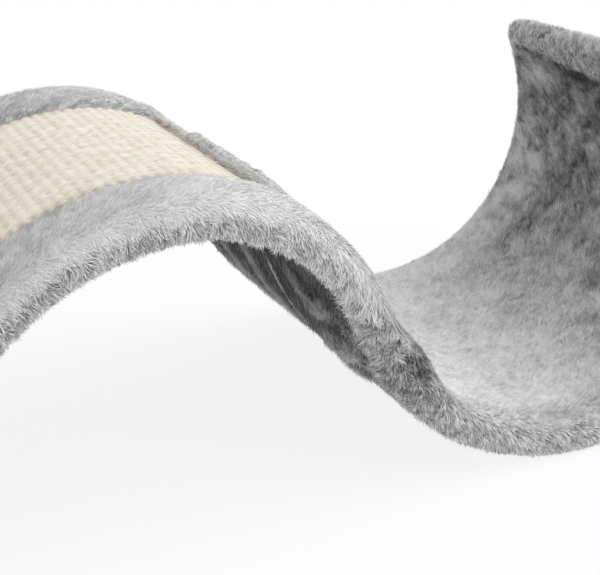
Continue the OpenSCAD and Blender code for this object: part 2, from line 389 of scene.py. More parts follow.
class Dress:
    """Where the cloth of each piece lies round the board."""

    def __init__(self):
        chosen = settings()
        self.board, self.sisal = chosen.board, chosen.sisal
        self.wave = Wave(chosen.wave, self.board, self.sisal)
        self.half = self.board.total_t / 2 - self.board.pile_t
        self.edge_y = (self.board.overall_w - self.board.total_t) / 2
        self.round_l = math.pi * self.half
        self.turn_t = self.edge_y + self.round_l + self.board.edge_turn
        self.window_y = self.board.overall_w / 2 - self.sisal.border_w
        self.hem_r = self.sisal.hem_d / 2
        self.foot_n = self.board.core_t / 2 + self.board.cloth_t

    def section(self, t):
        """Distance across, height and the way outwards at a run round the section."""
        side = -1 if t < 0 else 1
        run = abs(t)
        if run <= self.edge_y:
            return t, self.half, 0, 1
        if run <= self.edge_y + self.round_l:
            turn = (run - self.edge_y) / self.half
            y = self.edge_y + self.half * math.sin(turn)
            return side * y, self.half * math.cos(turn), side * math.sin(turn), math.cos(turn)
        return side * (2 * self.edge_y + self.round_l - run), -self.half, 0, -1

    def puff(self, s, y):
        """Height of padded cloth: beside the mat, and bunched by the hem's near end and the leg's foot."""
        across = (abs(y) - self.window_y) / self.sisal.border_w
        padded = math.sin(math.pi * min(max(across, 0), 1))
        padded *= smooth_step((self.wave.lounge_s + 40 * MM - s) / (60 * MM))
        past, aside = (s - 84 * MM) / (26 * MM), (y + 66 * MM) / (36 * MM)
        bunched = 2.4 * math.exp(-past * past - aside * aside) + 5 * bell(s, 160, 24) * ramp(-y, 88, 24)
        return (2.2 * padded + bunched) * MM

    def fluff_w(self, s):
        """How far the fluffy edge reaches in under the board: furthest at the foot of the leg."""
        foot = ramp(s, 105, 50) * (1 - ramp(s, 240, 50))
        return (14 + 46 * foot) * MM

    def spot(self, s, y, n, out_y, out_n):
        """Spot at a run along the board, a distance across and a height, with the way outwards there."""
        along, up = self.wave.axes(s)
        side = -1 if y < 0 else 1
        inside = self.edge_y - abs(y)
        place = self.wave.place(s, y, n)
        out = ACROSS * out_y + up * out_n
        place += out * (self.puff(s, y) * smooth_step(out_n))
        turn = math.acos(min(max(out_n, -1), 1))
        edge = 0
        drift = 0.3 * smooth_step(1 - inside / (40 * MM))
        if inside <= 0:
            first_turn = 1.2 + 0.3 * bell(s, 96, 26) - 0.7 * ramp(s, 90, 80)
            edge = smooth_step((turn - first_turn + 0.2 * patches(place, 7 * MM, 8.8)) / 0.5)
            drift = 0.3 + 0.7 * smooth_step(turn / 1.4)
        elif out_n < 0:
            edge = 1 - smooth_step(inside / self.fluff_w(s) + 0.25 * patches(place, 9 * MM, 8.8))
            drift = smooth_step(1 - inside / (36 * MM))
        onward = ACROSS * (side * out_n) - up * abs(out_y)
        return Spot(place, out, along, onward, s, y, turn, edge, drift)

    def border(self, s, run, side):
        """Border beside the window, at a run from the foot of its folded edge outwards."""
        fold_r = self.board.fold_r
        upright = self.half - fold_r - self.foot_n
        turn = (run - upright) / fold_r
        if turn < 0:
            y, n, out_y, out_n = self.window_y, self.foot_n + run, -1, 0
        elif turn < math.pi / 2:
            y = self.window_y + fold_r * (1 - math.cos(turn))
            n = self.half - fold_r * (1 - math.sin(turn))
            out_y, out_n = -math.cos(turn), math.sin(turn)
        else:
            past = run - upright - fold_r * math.pi / 2
            y, n, out_y, out_n = self.section(self.window_y + fold_r + past)
        # The pull of the mat's edge holds the fold down almost to the ribs.
        held = 1 - smooth_step((y - self.window_y) / (18 * MM))
        n -= 2.4 * MM * held * (n - self.foot_n) / (self.half - self.foot_n)
        return self.spot(s, side * y, n, side * out_y, out_n)

    def border_l(self):
        """Run across the border cloth."""
        fold_r = self.board.fold_r
        return self.half - self.foot_n - 2 * fold_r + fold_r * math.pi / 2 + self.turn_t - self.window_y

    def hemmed(self, run, t, start_s, way):
        """Cloth that starts in a rolled hem at a run and goes on from it the given way along the board."""
        y, n, out_y, out_n = self.section(t)
        over = run - math.pi * self.hem_r
        flat = self.spot(start_s + way * max(over, 0), y, n, out_y, out_n)
        near_end = ramp(y + self.window_y, -26, 28)
        far_end = smooth_step((self.edge_y + 4 * MM - y) / (8 * MM))
        bunched = 1 - 0.5 * ramp(y, 22, 9) * (way > 0)
        raised = near_end * far_end * bunched if out_n > 0.2 else 0
        if raised == 0:
            # The hem's cloth is gathered flat where no roll stands.
            if over < 0:
                flat.place += flat.along * (way * over * 0.12)
            return flat
        centre_n = self.board.core_t / 2 + self.hem_r + 0.4 * MM
        along, up = self.wave.axes(start_s)
        last_turn = 0.3 * math.pi
        leaving = along * (way * math.cos(last_turn)) + up * math.sin(last_turn)
        if over < 0:
            turn = last_turn - over / self.hem_r
            out = along * (way * math.cos(turn)) + up * math.sin(turn)
            rolled = self.wave.place(start_s, y, centre_n) + out * self.hem_r
            rolled += out * (0.9 * MM * patches(rolled, 10 * MM, 9.1))
            eased = 0
        else:
            eased = math.sin(math.pi / 2 * min(over / (14 * MM), 1))
            level = centre_n + self.hem_r * math.sin(last_turn)
            run_s = start_s + way * (self.hem_r * math.cos(last_turn) * (1 - eased) + over)
            rolled = self.wave.place(run_s, y, level + (self.half - level) * eased + self.puff(run_s, y))
            out = leaving.lerp(self.wave.axes(run_s)[1], eased).normalized()
        flat.place = flat.place.lerp(rolled, raised)
        flat.out = flat.out.lerp(out, raised).normalized()
        flat.rise = raised * (1 - eased)
        flat.trim = 1 - 0.5 * flat.rise
        return flat

    def ended(self, run, t, end_s, way):
        """Cloth turned over an end of the board: top, round the end and back underneath."""
        y, n, out_y, out_n = self.section(t)
        turn_l = self.board.end_turn
        along, up = self.wave.axes(end_s)
        forward = along * way
        band = self.tip_band(y) if way > 0 else 0
        fluffy = smooth_step((run - turn_l + band) / BAND_START)
        if run < turn_l:
            spot = self.spot(end_s - way * (turn_l - run), y, n, out_y, out_n)
            spot.edge = max(spot.edge, fluffy)
            spot.place += spot.out * (BAND_LIFT * fluffy)
        elif run > turn_l + self.round_l:
            spot = self.spot(end_s - way * (run - turn_l - self.round_l), y, -n, out_y, -out_n)
        else:
            turn = (run - turn_l) / self.half
            swung = forward * math.sin(turn) + up * math.cos(turn)
            onward = forward * math.cos(turn) - up * math.sin(turn)
            out = swung * out_n + ACROSS * out_y
            place = self.wave.place(end_s, y, 0) + swung * n
            edge = smooth_step((turn - 0.3 + 0.3 * patches(place, 8 * MM, 8.8)) / 0.6)
            banded = smooth_step(band / BAND_START)
            place += out * (BAND_LIFT * banded * math.cos(turn / 2))
            spot = Spot(place, out, onward, onward, end_s, y, turn, max(edge, banded), 1)
        spot.trim = 0.75
        return spot

    def tip_band(self, y):
        """How far the fluffy band of the tip reaches down the back: none at the far corner."""
        uneven = 2.6 * MM * patches(ACROSS * y, 15 * MM, 4.1)
        return min(max(0.16 * (self.edge_y - y) + uneven, 0), 0.9 * self.board.end_turn)


# Mesh helpers


def new_object(name, mesh):
    made = bpy.data.objects.new(name, mesh)
    bpy.context.scene.collection.objects.link(made)
    return made


def as_mesh(bm, name):
    mesh = bpy.data.meshes.new(name)
    bm.to_mesh(mesh)
    bm.free()
    return mesh


def thicken(piece, thickness):
    """Gives a sheet its thickness, inwards."""
    body = piece.modifiers.new("Thickness", "SOLIDIFY")
    body.thickness = thickness
    body.offset = -1


def grid_mesh(name, rows, columns, shape, layers):
    """A grid bent into place: shape(u, v) gives a vertex's place and the values of its named layers."""
    bm = bmesh.new()
    bm.loops.layers.uv.new(WEAVE_MAP)
    bmesh.ops.create_grid(bm, x_segments=rows, y_segments=columns, size=0.5, calc_uvs=True)
    kinds = {"lay": bm.verts.layers.float_vector}
    for layer in layers:
        kinds.get(layer, bm.verts.layers.float).new(layer)
    kept = [kinds.get(layer, bm.verts.layers.float)[layer] for layer in layers]
    for vert in bm.verts:
        vert.co, values = shape(vert.co.x + 0.5, vert.co.y + 0.5)
        for layer, value in zip(kept, values):
            vert[layer] = value
    bmesh.ops.remove_doubles(bm, verts=bm.verts, dist=WELD)
    for face in bm.faces:
        face.smooth = True
    return as_mesh(bm, name)


def applied(source, name):
    """A plain mesh object with the source's modifiers applied; the source is removed."""
    depsgraph = bpy.context.evaluated_depsgraph_get()
    mesh = bpy.data.meshes.new_from_object(
        source.evaluated_get(depsgraph), preserve_all_data_layers=True, depsgraph=depsgraph
    )
    mesh.name = name
    roots = source.data
    bpy.data.objects.remove(source)
    bpy.data.meshes.remove(roots)
    return new_object(name, mesh)


def feed(tree, node, inputs):
    """Gives a node its inputs, each a value or the output that it is linked to."""
    for socket, value in inputs.items():
        if isinstance(value, bpy.types.NodeSocket):
            tree.links.new(value, node.inputs[socket])
        else:
            node.inputs[socket].default_value = value


def add(tree, kind, inputs=(), **node_settings):
    """Adds a node with its settings and inputs, and gives its outputs."""
    node = tree.nodes.new(kind)
    for key, value in node_settings.items():
        setattr(node, key, value)
    feed(tree, node, dict(inputs))
    return node.outputs


# Finishes


def new_finish(name, roughness, specular, sheen=0.0):
    """A new material, its node tree and its shader."""
    material = bpy.data.materials.new(name)
    material.use_nodes = True
    tree = material.node_tree
    shader = tree.nodes["Principled BSDF"]
    feed(tree, shader, {"Roughness": roughness, "Specular IOR Level": specular, "Sheen Weight": sheen})
    return material, tree, shader


def opaque(tone):
    return (*tone, 1)


def strand_finish(name, dark, light):
    # Cut polyester pile or loose plant fibre: matt, darkened at the root by painted shade, pale at the tip,
    # in patches of tone.
    material, tree, shader = new_finish(name, 0.75, 0.12, 0.2)
    uv = add(tree, "ShaderNodeUVMap", uv_map=STRAND_MAP)
    part = add(tree, "ShaderNodeSeparateXYZ", {0: uv[0]})
    patch = {SHARE: part[0], FIRST: opaque(dark), SECOND: opaque(light)}
    tip = add(tree, "ShaderNodeMix", patch, data_type="RGBA")
    shading = {"Value": part[1], "From Max": 0.7, "To Min": settings().colours.root_shade}
    height = add(tree, "ShaderNodeMapRange", shading)
    shaded = {SHARE: 1, FIRST: tip[MIXED], SECOND: height[0]}
    strand = add(tree, "ShaderNodeMix", shaded, data_type="RGBA", blend_type="MULTIPLY")
    feed(tree, shader, {"Base Color": strand[MIXED]})
    return material


def cloth_finish(name, dark, light, seam):
    # Knitted polyester backing: matt, in the tone of its pile, mottled by stubble; bare and pale at a seam.
    material, tree, shader = new_finish(name, 0.85, 0.1, 0.15)
    where = add(tree, "ShaderNodeTexCoord")["Object"]
    stubble = add(tree, "ShaderNodeTexNoise", {"Vector": where, "Scale": 1 / (1.2 * MM), "Detail": 3})
    patch = add(tree, "ShaderNodeAttribute", attribute_name="shade")
    spread = {"Value": stubble[0], "To Min": -0.2, "To Max": 0.2}
    speck = add(tree, "ShaderNodeMapRange", spread)
    level = add(tree, "ShaderNodeMath", {0: patch["Fac"], 1: speck[0]}, use_clamp=True)
    mixed = {SHARE: level[0], FIRST: opaque(dark), SECOND: opaque(light)}
    tone = add(tree, "ShaderNodeMix", mixed, data_type="RGBA")
    bare = add(tree, "ShaderNodeAttribute", attribute_name="bare")
    shown = {SHARE: bare["Fac"], FIRST: tone[MIXED], SECOND: opaque(seam)}
    seamed = add(tree, "ShaderNodeMix", shown, data_type="RGBA")
    bump = add(tree, "ShaderNodeBump", {"Height": stubble[0], "Strength": 0.5, "Distance": 0.5 * MM})
    feed(tree, shader, {"Base Color": seamed[MIXED], "Normal": bump[0]})
    return material


def sisal_weave(tones):
    # Natural sisal, woven in ribs: dry cream yarn, yellower here and there, with fine fibres, and painted
    # shade in its pits and valleys, along its long edges and at its end by the roll.
    material, tree, shader = new_finish("Sisal weave", 0.8, 0.15, 0.1)
    uv = add(tree, "ShaderNodeUVMap", uv_map=WEAVE_MAP)
    fibre_scale = (1 / (5 * MM), 1 / (0.5 * MM), 1)
    fine = add(tree, "ShaderNodeVectorMath", {0: uv[0], 1: fibre_scale}, operation="MULTIPLY")
    fibres = add(tree, "ShaderNodeTexNoise", {"Vector": fine[0], "Scale": 1, "Detail": 4})
    blotch = add(tree, "ShaderNodeTexNoise", {"Vector": uv[0], "Scale": 1 / (9 * MM), "Detail": 2})
    warmth = add(tree, "ShaderNodeMapRange", {"Value": blotch[0], "From Min": 0.4, "From Max": 0.7})
    yarn = {SHARE: warmth[0], FIRST: opaque(tones.sisal_light), SECOND: opaque(tones.sisal_warm)}
    tone = add(tree, "ShaderNodeMix", yarn, data_type="RGBA")
    pit = add(tree, "ShaderNodeAttribute", attribute_name="pit")
    rough = add(tree, "ShaderNodeMapRange", {"Value": fibres[0], "To Min": -0.3, "To Max": 0.3})
    depth = add(tree, "ShaderNodeMath", {0: rough[0], 1: pit["Fac"]}, use_clamp=True)
    shaded = {SHARE: depth[0], FIRST: tone[MIXED], SECOND: opaque(tones.sisal_pit)}
    woven = add(tree, "ShaderNodeMix", shaded, data_type="RGBA")
    bump = add(tree, "ShaderNodeBump", {"Height": fibres[0], "Strength": 0.5, "Distance": 0.5 * MM})
    feed(tree, shader, {"Base Color": woven[MIXED], "Normal": bump[0]})
    return material


def bent_plywood(name, light, dark, grain_mm):
    # Rotary-cut plywood, bare: matt, with long grain the way the ply runs.
    material, tree, shader = new_finish(name, 0.6, 0.4)
    where = add(tree, "ShaderNodeTexCoord")["Object"]
    grain_scale = [1 / (size * MM) for size in grain_mm]
    drawn = add(tree, "ShaderNodeVectorMath", {0: where, 1: grain_scale}, operation="MULTIPLY")
    grain = add(tree, "ShaderNodeTexNoise", {"Vector": drawn[0], "Scale": 1, "Detail": 5})
    mixed = {SHARE: grain[0], FIRST: opaque(light), SECOND: opaque(dark)}
    tone = add(tree, "ShaderNodeMix", mixed, data_type="RGBA")
    bump = add(tree, "ShaderNodeBump", {"Height": grain[0], "Strength": 0.2, "Distance": 0.3 * MM})
    feed(tree, shader, {"Base Color": tone[MIXED], "Normal": bump[0]})
    return material


def latex_backing(tone):
    # Foamed latex, spread and dried: matt and finely pitted.
    material, tree, shader = new_finish("Latex backing", 0.8, 0.3)
    where = add(tree, "ShaderNodeTexCoord")["Object"]
    pores = add(tree, "ShaderNodeTexVoronoi", {"Vector": where, "Scale": 1 / (1.5 * MM)})
    pitted = {SHARE: pores["Distance"], FIRST: opaque([0.7 * c for c in tone]), SECOND: opaque(tone)}
    mixed = add(tree, "ShaderNodeMix", pitted, data_type="RGBA")
    feed(tree, shader, {"Base Color": mixed[MIXED]})
    return material


def staple_wire(tone):
    # Galvanised steel wire, flattened: bright, with a dull zinc bloom.
    material, tree, shader = new_finish("Galvanised staple wire", 0.35, 0.5)
    where = add(tree, "ShaderNodeTexCoord")["Object"]
    bloom = add(tree, "ShaderNodeTexNoise", {"Vector": where, "Scale": 1 / (2 * MM), "Detail": 3})
    dulled = add(tree, "ShaderNodeMapRange", {"Value": bloom[0], "To Min": 0.25, "To Max": 0.5})
    feed(tree, shader, {"Base Color": opaque(tone), "Metallic": 1, "Roughness": dulled[0]})
    return material


def finish(name, make, *tones):
    """A finish by its name, made when it is first asked for."""
    return bpy.data.materials.get(name) or make(name, *tones)


def plush_finishes(kind, dark, light):
    """Finishes of a plush's pile and of its backing cloth."""
    pile = finish(kind + " pile", strand_finish, dark, light)
    return pile, finish(kind + " backing", cloth_finish, dark, light, settings().colours.seam)


# The pile


def strand_object(name, joints, bow):
    """One strand: a narrow blade that bows outwards and ends in a point."""
    bm = bmesh.new()
    bm.verts.layers.float.new("tip")
    bm.verts.layers.float.new("side")
    tip, side = bm.verts.layers.float["tip"], bm.verts.layers.float["side"]
    bmesh.ops.create_grid(bm, x_segments=1, y_segments=joints, size=0.5)
    for vert in bm.verts:
        height = vert.co.y + 0.5
        vert[tip] = height
        vert[side] = 2 * vert.co.x
        vert.co = Vector((vert.co.x * (1 - 0.2 * height), 4 * bow * height * (1 - height), height))
    ends = [vert for vert in bm.verts if vert[tip] > 0.9]
    bmesh.ops.pointmerge(bm, verts=ends, merge_co=Vector((0, 0, 1)))
    made = new_object(name, as_mesh(bm, name))
    made.hide_render = True
    return made


def strand(name):
    """A kind of strand by its name, made when it is first asked for."""
    return bpy.data.objects.get(name) or strand_object(name, *STRAND_KINDS[name])


def pile_growth():
    """Node tree that plants strands on a cloth, leaning the way that its "lay" attribute points."""
    tree = bpy.data.node_groups.new("Pile growth", "GeometryNodeTree")
    wanted = {
        "Cloth": "Geometry", "Seed": "Int", "Strand": "Object", "Width": "Float", "Straying": "Float",
        "Variety": "Float", "Depth": "Float", "Finish": "Material"
    }
    for name, kind in wanted.items():
        tree.interface.new_socket(name, in_out="INPUT", socket_type="NodeSocket" + kind)
    tree.interface.new_socket("Pile", in_out="OUTPUT", socket_type="NodeSocketGeometry")
    given = add(tree, "NodeGroupInput")
    kept = {
        name: add(tree, "GeometryNodeInputNamedAttribute", {"Name": name}, data_type="FLOAT")[0]
        for name in ("grow", "reach", "shade", "tip", "side")
    }
    kept["lay"] = add(
        tree, "GeometryNodeInputNamedAttribute", {"Name": "lay"}, data_type="FLOAT_VECTOR"
    )[0]
    chances = []
    for offset in range(5):
        seed = add(tree, "ShaderNodeMath", {0: given["Seed"], 1: 100 * offset})
        if offset < 2:
            box = {0: (-1, -1, -1), 1: (1, 1, 1), "Seed": seed[0]}
            ways = add(tree, "FunctionNodeRandomValue", box, data_type="FLOAT_VECTOR")
            strayed = {0: ways[0], "Scale": given["Straying"]}
            chances.append(add(tree, "ShaderNodeVectorMath", strayed, operation="SCALE")[0])
        else:
            pick = {2: -1, 3: 1, "Seed": seed[0]}
            chances.append(add(tree, "FunctionNodeRandomValue", pick, data_type="FLOAT")[1])

    planting = {"Mesh": given["Cloth"], "Density": kept["grow"], "Seed": given["Seed"]}
    roots = add(tree, "GeometryNodeDistributePointsOnFaces", planting)
    way = add(tree, "ShaderNodeVectorMath", {0: kept["lay"], 1: chances[0]}, operation="ADD")
    leaning = add(tree, "FunctionNodeAlignRotationToVector", {"Vector": way[0]}, axis="Z")
    outward = add(tree, "ShaderNodeVectorMath", {0: roots["Normal"], 1: chances[1]}, operation="ADD")
    facing = {"Rotation": leaning[0], "Vector": outward[0]}
    turned = add(tree, "FunctionNodeAlignRotationToVector", facing, axis="Y", pivot_axis="Z")
    taller = add(tree, "ShaderNodeMath", {0: chances[2], 1: 0.25, 2: 0.95}, operation="MULTIPLY_ADD")
    tall = add(tree, "ShaderNodeMath", {0: kept["reach"], 1: taller[0]}, operation="MULTIPLY")
    wider = add(tree, "ShaderNodeMath", {0: chances[3], 1: 0.3, 2: 1}, operation="MULTIPLY_ADD")
    wide = add(tree, "ShaderNodeMath", {0: given["Width"], 1: wider[0]}, operation="MULTIPLY")
    size = add(tree, "ShaderNodeCombineXYZ", {0: wide[0], 1: tall[0], 2: tall[0]})
    mixing = {0: chances[4], 1: given["Variety"], 2: kept["shade"]}
    tone = add(tree, "ShaderNodeMath", mixing, operation="MULTIPLY_ADD", use_clamp=True)
    toning = {"Geometry": roots["Points"], "Name": "shade", "Value": tone[0]}
    points = add(tree, "GeometryNodeStoreNamedAttribute", toning, data_type="FLOAT")
    strand = add(tree, "GeometryNodeObjectInfo", {"Object": given["Strand"]})["Geometry"]
    rooted = {"Points": points[0], "Instance": strand, "Rotation": turned[0], "Scale": size[0]}
    planted = add(tree, "GeometryNodeInstanceOnPoints", rooted)
    real = add(tree, "GeometryNodeRealizeInstances", {0: planted[0]})

    # Strands are pressed flat where they meet the floor.
    part = add(tree, "ShaderNodeSeparateXYZ", {0: add(tree, "GeometryNodeInputPosition")[0]})
    above = add(tree, "ShaderNodeMath", {0: part[2], 1: FLOOR_GAP}, operation="MAXIMUM")
    lifted = add(tree, "ShaderNodeCombineXYZ", {0: part[0], 1: part[1], 2: above[0]})
    pressing = {"Geometry": real[0], "Position": lifted[0]}
    pressed = add(tree, "GeometryNodeSetPosition", pressing)

    # A strand takes a narrow column of the strand map at its own tone; a deeper style takes more of its
    # height, down into the painted shade at the root.
    toned = {0: kept["shade"], 1: MAP_SPAN, 2: MAP_MARGIN}
    column = add(tree, "ShaderNodeMath", toned, operation="MULTIPLY_ADD")
    apart = {0: kept["side"], 1: COLUMN_HALF, 2: column[0]}
    across = add(tree, "ShaderNodeMath", apart, operation="MULTIPLY_ADD")
    below = add(tree, "ShaderNodeMath", {0: 1, 1: kept["tip"]}, operation="SUBTRACT")
    deep = add(tree, "ShaderNodeMath", {0: below[0], 1: given["Depth"]}, operation="MULTIPLY")
    sunk = {0: deep[0], 1: -MAP_SPAN, 2: 1 - MAP_MARGIN}
    height = add(tree, "ShaderNodeMath", sunk, operation="MULTIPLY_ADD")
    spread = add(tree, "ShaderNodeCombineXYZ", {0: across[0], 1: height[0]})
    mapping = {"Geometry": pressed[0], "Name": STRAND_MAP, "Value": spread[0]}
    mapped = add(tree, "GeometryNodeStoreNamedAttribute", mapping, data_type="FLOAT2", domain="CORNER")
    dyed = add(tree, "GeometryNodeSetMaterial", {"Geometry": mapped[0], "Material": given["Finish"]})
    add(tree, "NodeGroupOutput", {"Pile": dyed[0]})
    return tree


def combed(spot, style, part, tone):
    """Lay, density, length and tone of one style of pile at a spot, where that style has a part of it."""
    # The lay runs along the board and turns towards its edges, less so down the leg.
    down_leg = ramp(spot.s, -40, 100)
    flow = spot.along * (1 - (0.75 - 0.45 * down_leg) * spot.drift)
    flow = (flow + spot.onward * spot.drift * (1 - 0.4 * down_leg)).normalized()
    # Tufts on the edge are tousled at the leg's foot, calm along the trough and curly round the arch.
    tousled = bell(spot.s, 155, 35) * spot.edge
    calm = spot.edge * ramp(spot.s, 200, 40)
    calm *= 1 - ramp(spot.s, 480, 40)
    curly = spot.edge * (1 - ramp(spot.s, -10, 80))
    ruffled = 1 + 1.6 * tousled + 0.9 * curly - 0.5 * calm
    swirl = style.swirl * ruffled * patches(spot.place, style.patch, 3.7)
    flow = flow * math.cos(swirl) + spot.out.cross(flow) * math.sin(swirl)
    lean = style.lean + 0.2 * down_leg * (1 - ramp(spot.s, 130, 40)) * (1 - spot.edge)
    lay = spot.out * math.cos(lean) + flow * math.sin(lean)
    tuft = style.tufting * (1 - 0.45 * calm - 0.35 * curly) * patches(spot.place, 4.5 * MM, 11.3)
    trim = spot.trim * (1 - 0.2 * (tousled + curly) - 0.15 * calm)
    reach = style.reach * trim * (0.6 + 0.4 * min(part, 1)) * (1 + tuft)
    return lay, style.density * part * (1 - spot.bare), reach, tone + 0.7 * tuft


def grown_pile(name, style, kind, dye, lengths, comb, seed):
    """Pile of one kind of strand on a stretch of cloth; comb(u, v) gives a place and its pile."""
    rows, columns = [max(4, round(run / COMB_STEP)) for run in lengths]
    cloth = new_object(name + "_roots", grid_mesh(name + "_roots", rows, columns, comb, PILE_LAYERS))
    growth = cloth.modifiers.new("Pile", "NODES")
    growth.node_group = bpy.data.node_groups.get("Pile growth") or pile_growth()
    values = {
        "Seed": seed, "Strand": strand(kind), "Width": style.width, "Straying": style.straying,
        "Variety": style.variety, "Depth": style.depth, "Finish": dye
    }
    for socket in growth.node_group.interface.items_tree:
        if socket.name in values:
            growth[socket.identifier] = values[socket.name]
    piece = applied(cloth, name)
    for layer in (*PILE_LAYERS, "tip", "side", WEAVE_MAP):
        if layer in piece.data.attributes:
            piece.data.attributes.remove(piece.data.attributes[layer])
    return piece


def declare(sheet, pile, node):
    """Attaches a sheet and the pile on it to the root body, and hides the node that they stand for."""
    for piece in (sheet, *pile):
        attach(piece, "root")
    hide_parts(node)


def plush_cover(name, lengths, shape, tone, seed, node, parts=1, lining=False):
    """A plush cover: backing cloth as a thin closed sheet, smooth pile on its faces and fluffy on its edges.

    shape(u, v) gives a spot and tone(spot) its tone. The pile comes in as many parts along the cloth.
    """
    chosen = settings()
    tones = chosen.colours
    if lining:
        slot, face_style = "lining_plush", chosen.lining
        pile_dye, cloth_dye = plush_finishes("Lining", tones.lining_shade, tones.lining_light)
    else:
        slot, face_style = "plush", chosen.face
        pile_dye, cloth_dye = plush_finishes("Plush", tones.plush_nap_and_shade, tones.plush_light)

    def cloth_spot(u, v):
        spot = shape(u, v)
        # The backing takes its pile's tone, darkened by painted shade among the roots, most under the fluffy
        # edge.
        return spot.place, (tone(spot) * (0.8 - 0.45 * spot.edge), spot.bare)

    rows, columns = [max(4, round(run / CLOTH_STEP)) for run in lengths]
    cloth = new_object(name + "_cloth", grid_mesh(name, rows, columns, cloth_spot, ("shade", "bare")))
    cloth.data.materials.append(cloth_dye)
    thicken(cloth, chosen.board.cloth_t)

    styles = (
        ("_face_pile", face_style, "straight_strand", False),
        ("_edge_pile", chosen.edge, "bowed_strand", True),
    )
    part_lengths = (lengths[0] / parts, lengths[1])
    piles = []
    for part in range(parts):
        for kind, style, strand_kind, fluffy in styles:

            def comb(u, v, part=part, style=style, fluffy=fluffy):
                spot = shape((part + u) / parts, v)
                return spot.place, combed(spot, style, spot.edge if fluffy else 1 - spot.edge, tone(spot))

            pile_name = name + kind + (f"_{part + 1}" if parts > 1 else "")
            pile_seed = seed + part + (EDGE_SEED if fluffy else 0)
            piles.append(grown_pile(pile_name, style, strand_kind, pile_dye, part_lengths, comb, pile_seed))
    declare(cloth, piles, node)


def mottle(place, coarse, fine):
    """Cloudy tone of brushed pile: patches, tufts and single locks."""
    cloud = patches(place, 30 * MM, 1.3) + 0.7 * patches(place, 8 * MM, 5.9)
    return coarse * cloud + fine * patches(place, 3 * MM, 7.1)


def top_tone(dress):
    """Tones of the top plush: pale, with painted shade up the curled back, by the mat, on the edges, on the
    leg and at its foot.
    """
    wave = dress.wave

    def tone(spot):
        # Painted shade deepening up the curled back, which turns away from the key light, lifted in blotches
        # along its far side.
        back = ramp(spot.s, 298, 182) * (1 - spot.edge)
        trough = ramp(spot.s, 180, 60)
        high = ramp(spot.s, 490, 40)
        far = ramp(spot.y, 72, 24)
        far *= 0.33 + 0.27 * patches(spot.place, 16 * MM, 2.2)
        value = 0.97 - (0.47 + 0.18 * high - far) * back
        value += mottle(spot.place, 0.06 + 0.33 * back, 0.1 + 0.2 * trough)
        # Painted shade on the leg and over its near rim, and on every fluffy edge, less on the leg's and the
        # tip's; painted light where the leg's fluffy edge starts.
        leg = bell(spot.s, 86, 38)
        tip = ramp(spot.s, 540, 15)
        near = ramp(-spot.y, 76, 30) * (1 - smooth_step((spot.turn - 0.3) / 0.9))
        value -= (0.06 + 0.22 * ramp(spot.y, -128, 24) + 0.34 * near) * leg
        value += 0.15 * leg * spot.edge * (1 - smooth_step((spot.turn - 1.3) / 0.7))
        value -= (0.33 - 0.22 * leg - 0.15 * tip) * spot.edge
        # Painted shade at the foot of the leg, where the near rim is bunched, and on along that rim.
        rim = ramp(-spot.y, 98, 18)
        value -= 0.53 * bell(spot.s, 160, 25) * rim * (1 - 0.6 * smooth_step((spot.turn - 1) / 0.8))
        value -= 0.25 * rim * ramp(spot.s, 90, 40) * (1 - spot.edge)
        # Painted shadow in a line below the band of the tip; the roll at the mat's end a little deeper;
        # painted shade, mottled, along the fold beside the mat and over the whole far border.
        below = wave.tip_s - spot.s - dress.tip_band(spot.y)
        value -= 0.25 * bell(below, 4, 4) * (1 - spot.edge) + 0.14 * spot.rise
        if wave.toe_cover_s < spot.s < wave.lounge_s:
            rough = 0.15 + 0.45 * patches(spot.place, 4 * MM, 5.5)
            value -= rough * bell(abs(spot.y) - dress.window_y, 0, 13) + (0.24 if spot.y > 0 else 0)
        return value

    return tone


def lining_tone(spot):
    """Tones of the lining: painted shade all over, deepest under the leg's foot, lifted by painted light on
    its folds, past the leg, on the far panel and towards the fluffy edge.
    """
    value = 0.11 + 0.08 * ramp(spot.y, -13, 4) + mottle(spot.place, 0.14, 0.2)
    value -= 0.16 * bell(spot.s, 138, 24) * ramp(spot.y, -72, 24)
    value += 0.14 * ramp(spot.s, 140, 50)
    return value + 0.6 * spot.rise + 0.42 * spot.edge


# Pieces


class SCRATCHER_OT_borders(bpy.types.Operator):
    """Make the plush borders on the two long sides of the mat"""

    bl_idname = "scratcher.borders"
    bl_label = "Plush Borders"

    def execute(self, context):
        dress = Dress()
        wave = dress.wave
        run = wave.lounge_s - wave.toe_cover_s
        lengths = (run, dress.border_l())
        for name, side, seed in (("near_border", -1, 11), ("far_border", 1, 23)):

            def shape(u, v, side=side):
                across = v if side > 0 else 1 - v
                return dress.border(wave.toe_cover_s + run * u, lengths[1] * across, side)

            plush_cover(name, lengths, shape, top_tone(dress), seed, name + "_cover")
        return {"FINISHED"}


class SCRATCHER_OT_lounge(bpy.types.Operator):
    """Make the plush from the rolled hem down the leg and through the trough"""

    bl_idname = "scratcher.lounge"
    bl_label = "Lounge Plush"

    def execute(self, context):
        dress = Dress()
        wave = dress.wave
        run = wave.tip_s - dress.board.end_turn - wave.lounge_s + math.pi * dress.hem_r

        def shape(u, v):
            return dress.hemmed(run * u, dress.turn_t * (2 * v - 1), wave.lounge_s, 1)

        lengths = (run, 2 * dress.turn_t)
        plush_cover("lounge", lengths, shape, top_tone(dress), 31, "lounge_cover", parts=3)
        return {"FINISHED"}


class SCRATCHER_OT_toe(bpy.types.Operator):
    """Make the plush below the mat"""

    bl_idname = "scratcher.toe"
    bl_label = "Toe Plush"

    def execute(self, context):
        dress = Dress()
        wave = dress.wave
        run = wave.toe_cover_s - wave.toe_s - dress.board.end_turn + math.pi * dress.hem_r

        def shape(u, v):
            return dress.hemmed(run * (1 - u), dress.turn_t * (2 * v - 1), wave.toe_cover_s, -1)

        lengths = (run, 2 * dress.turn_t)
        plush_cover("toe", lengths, shape, top_tone(dress), 41, "toe_cover")
        return {"FINISHED"}


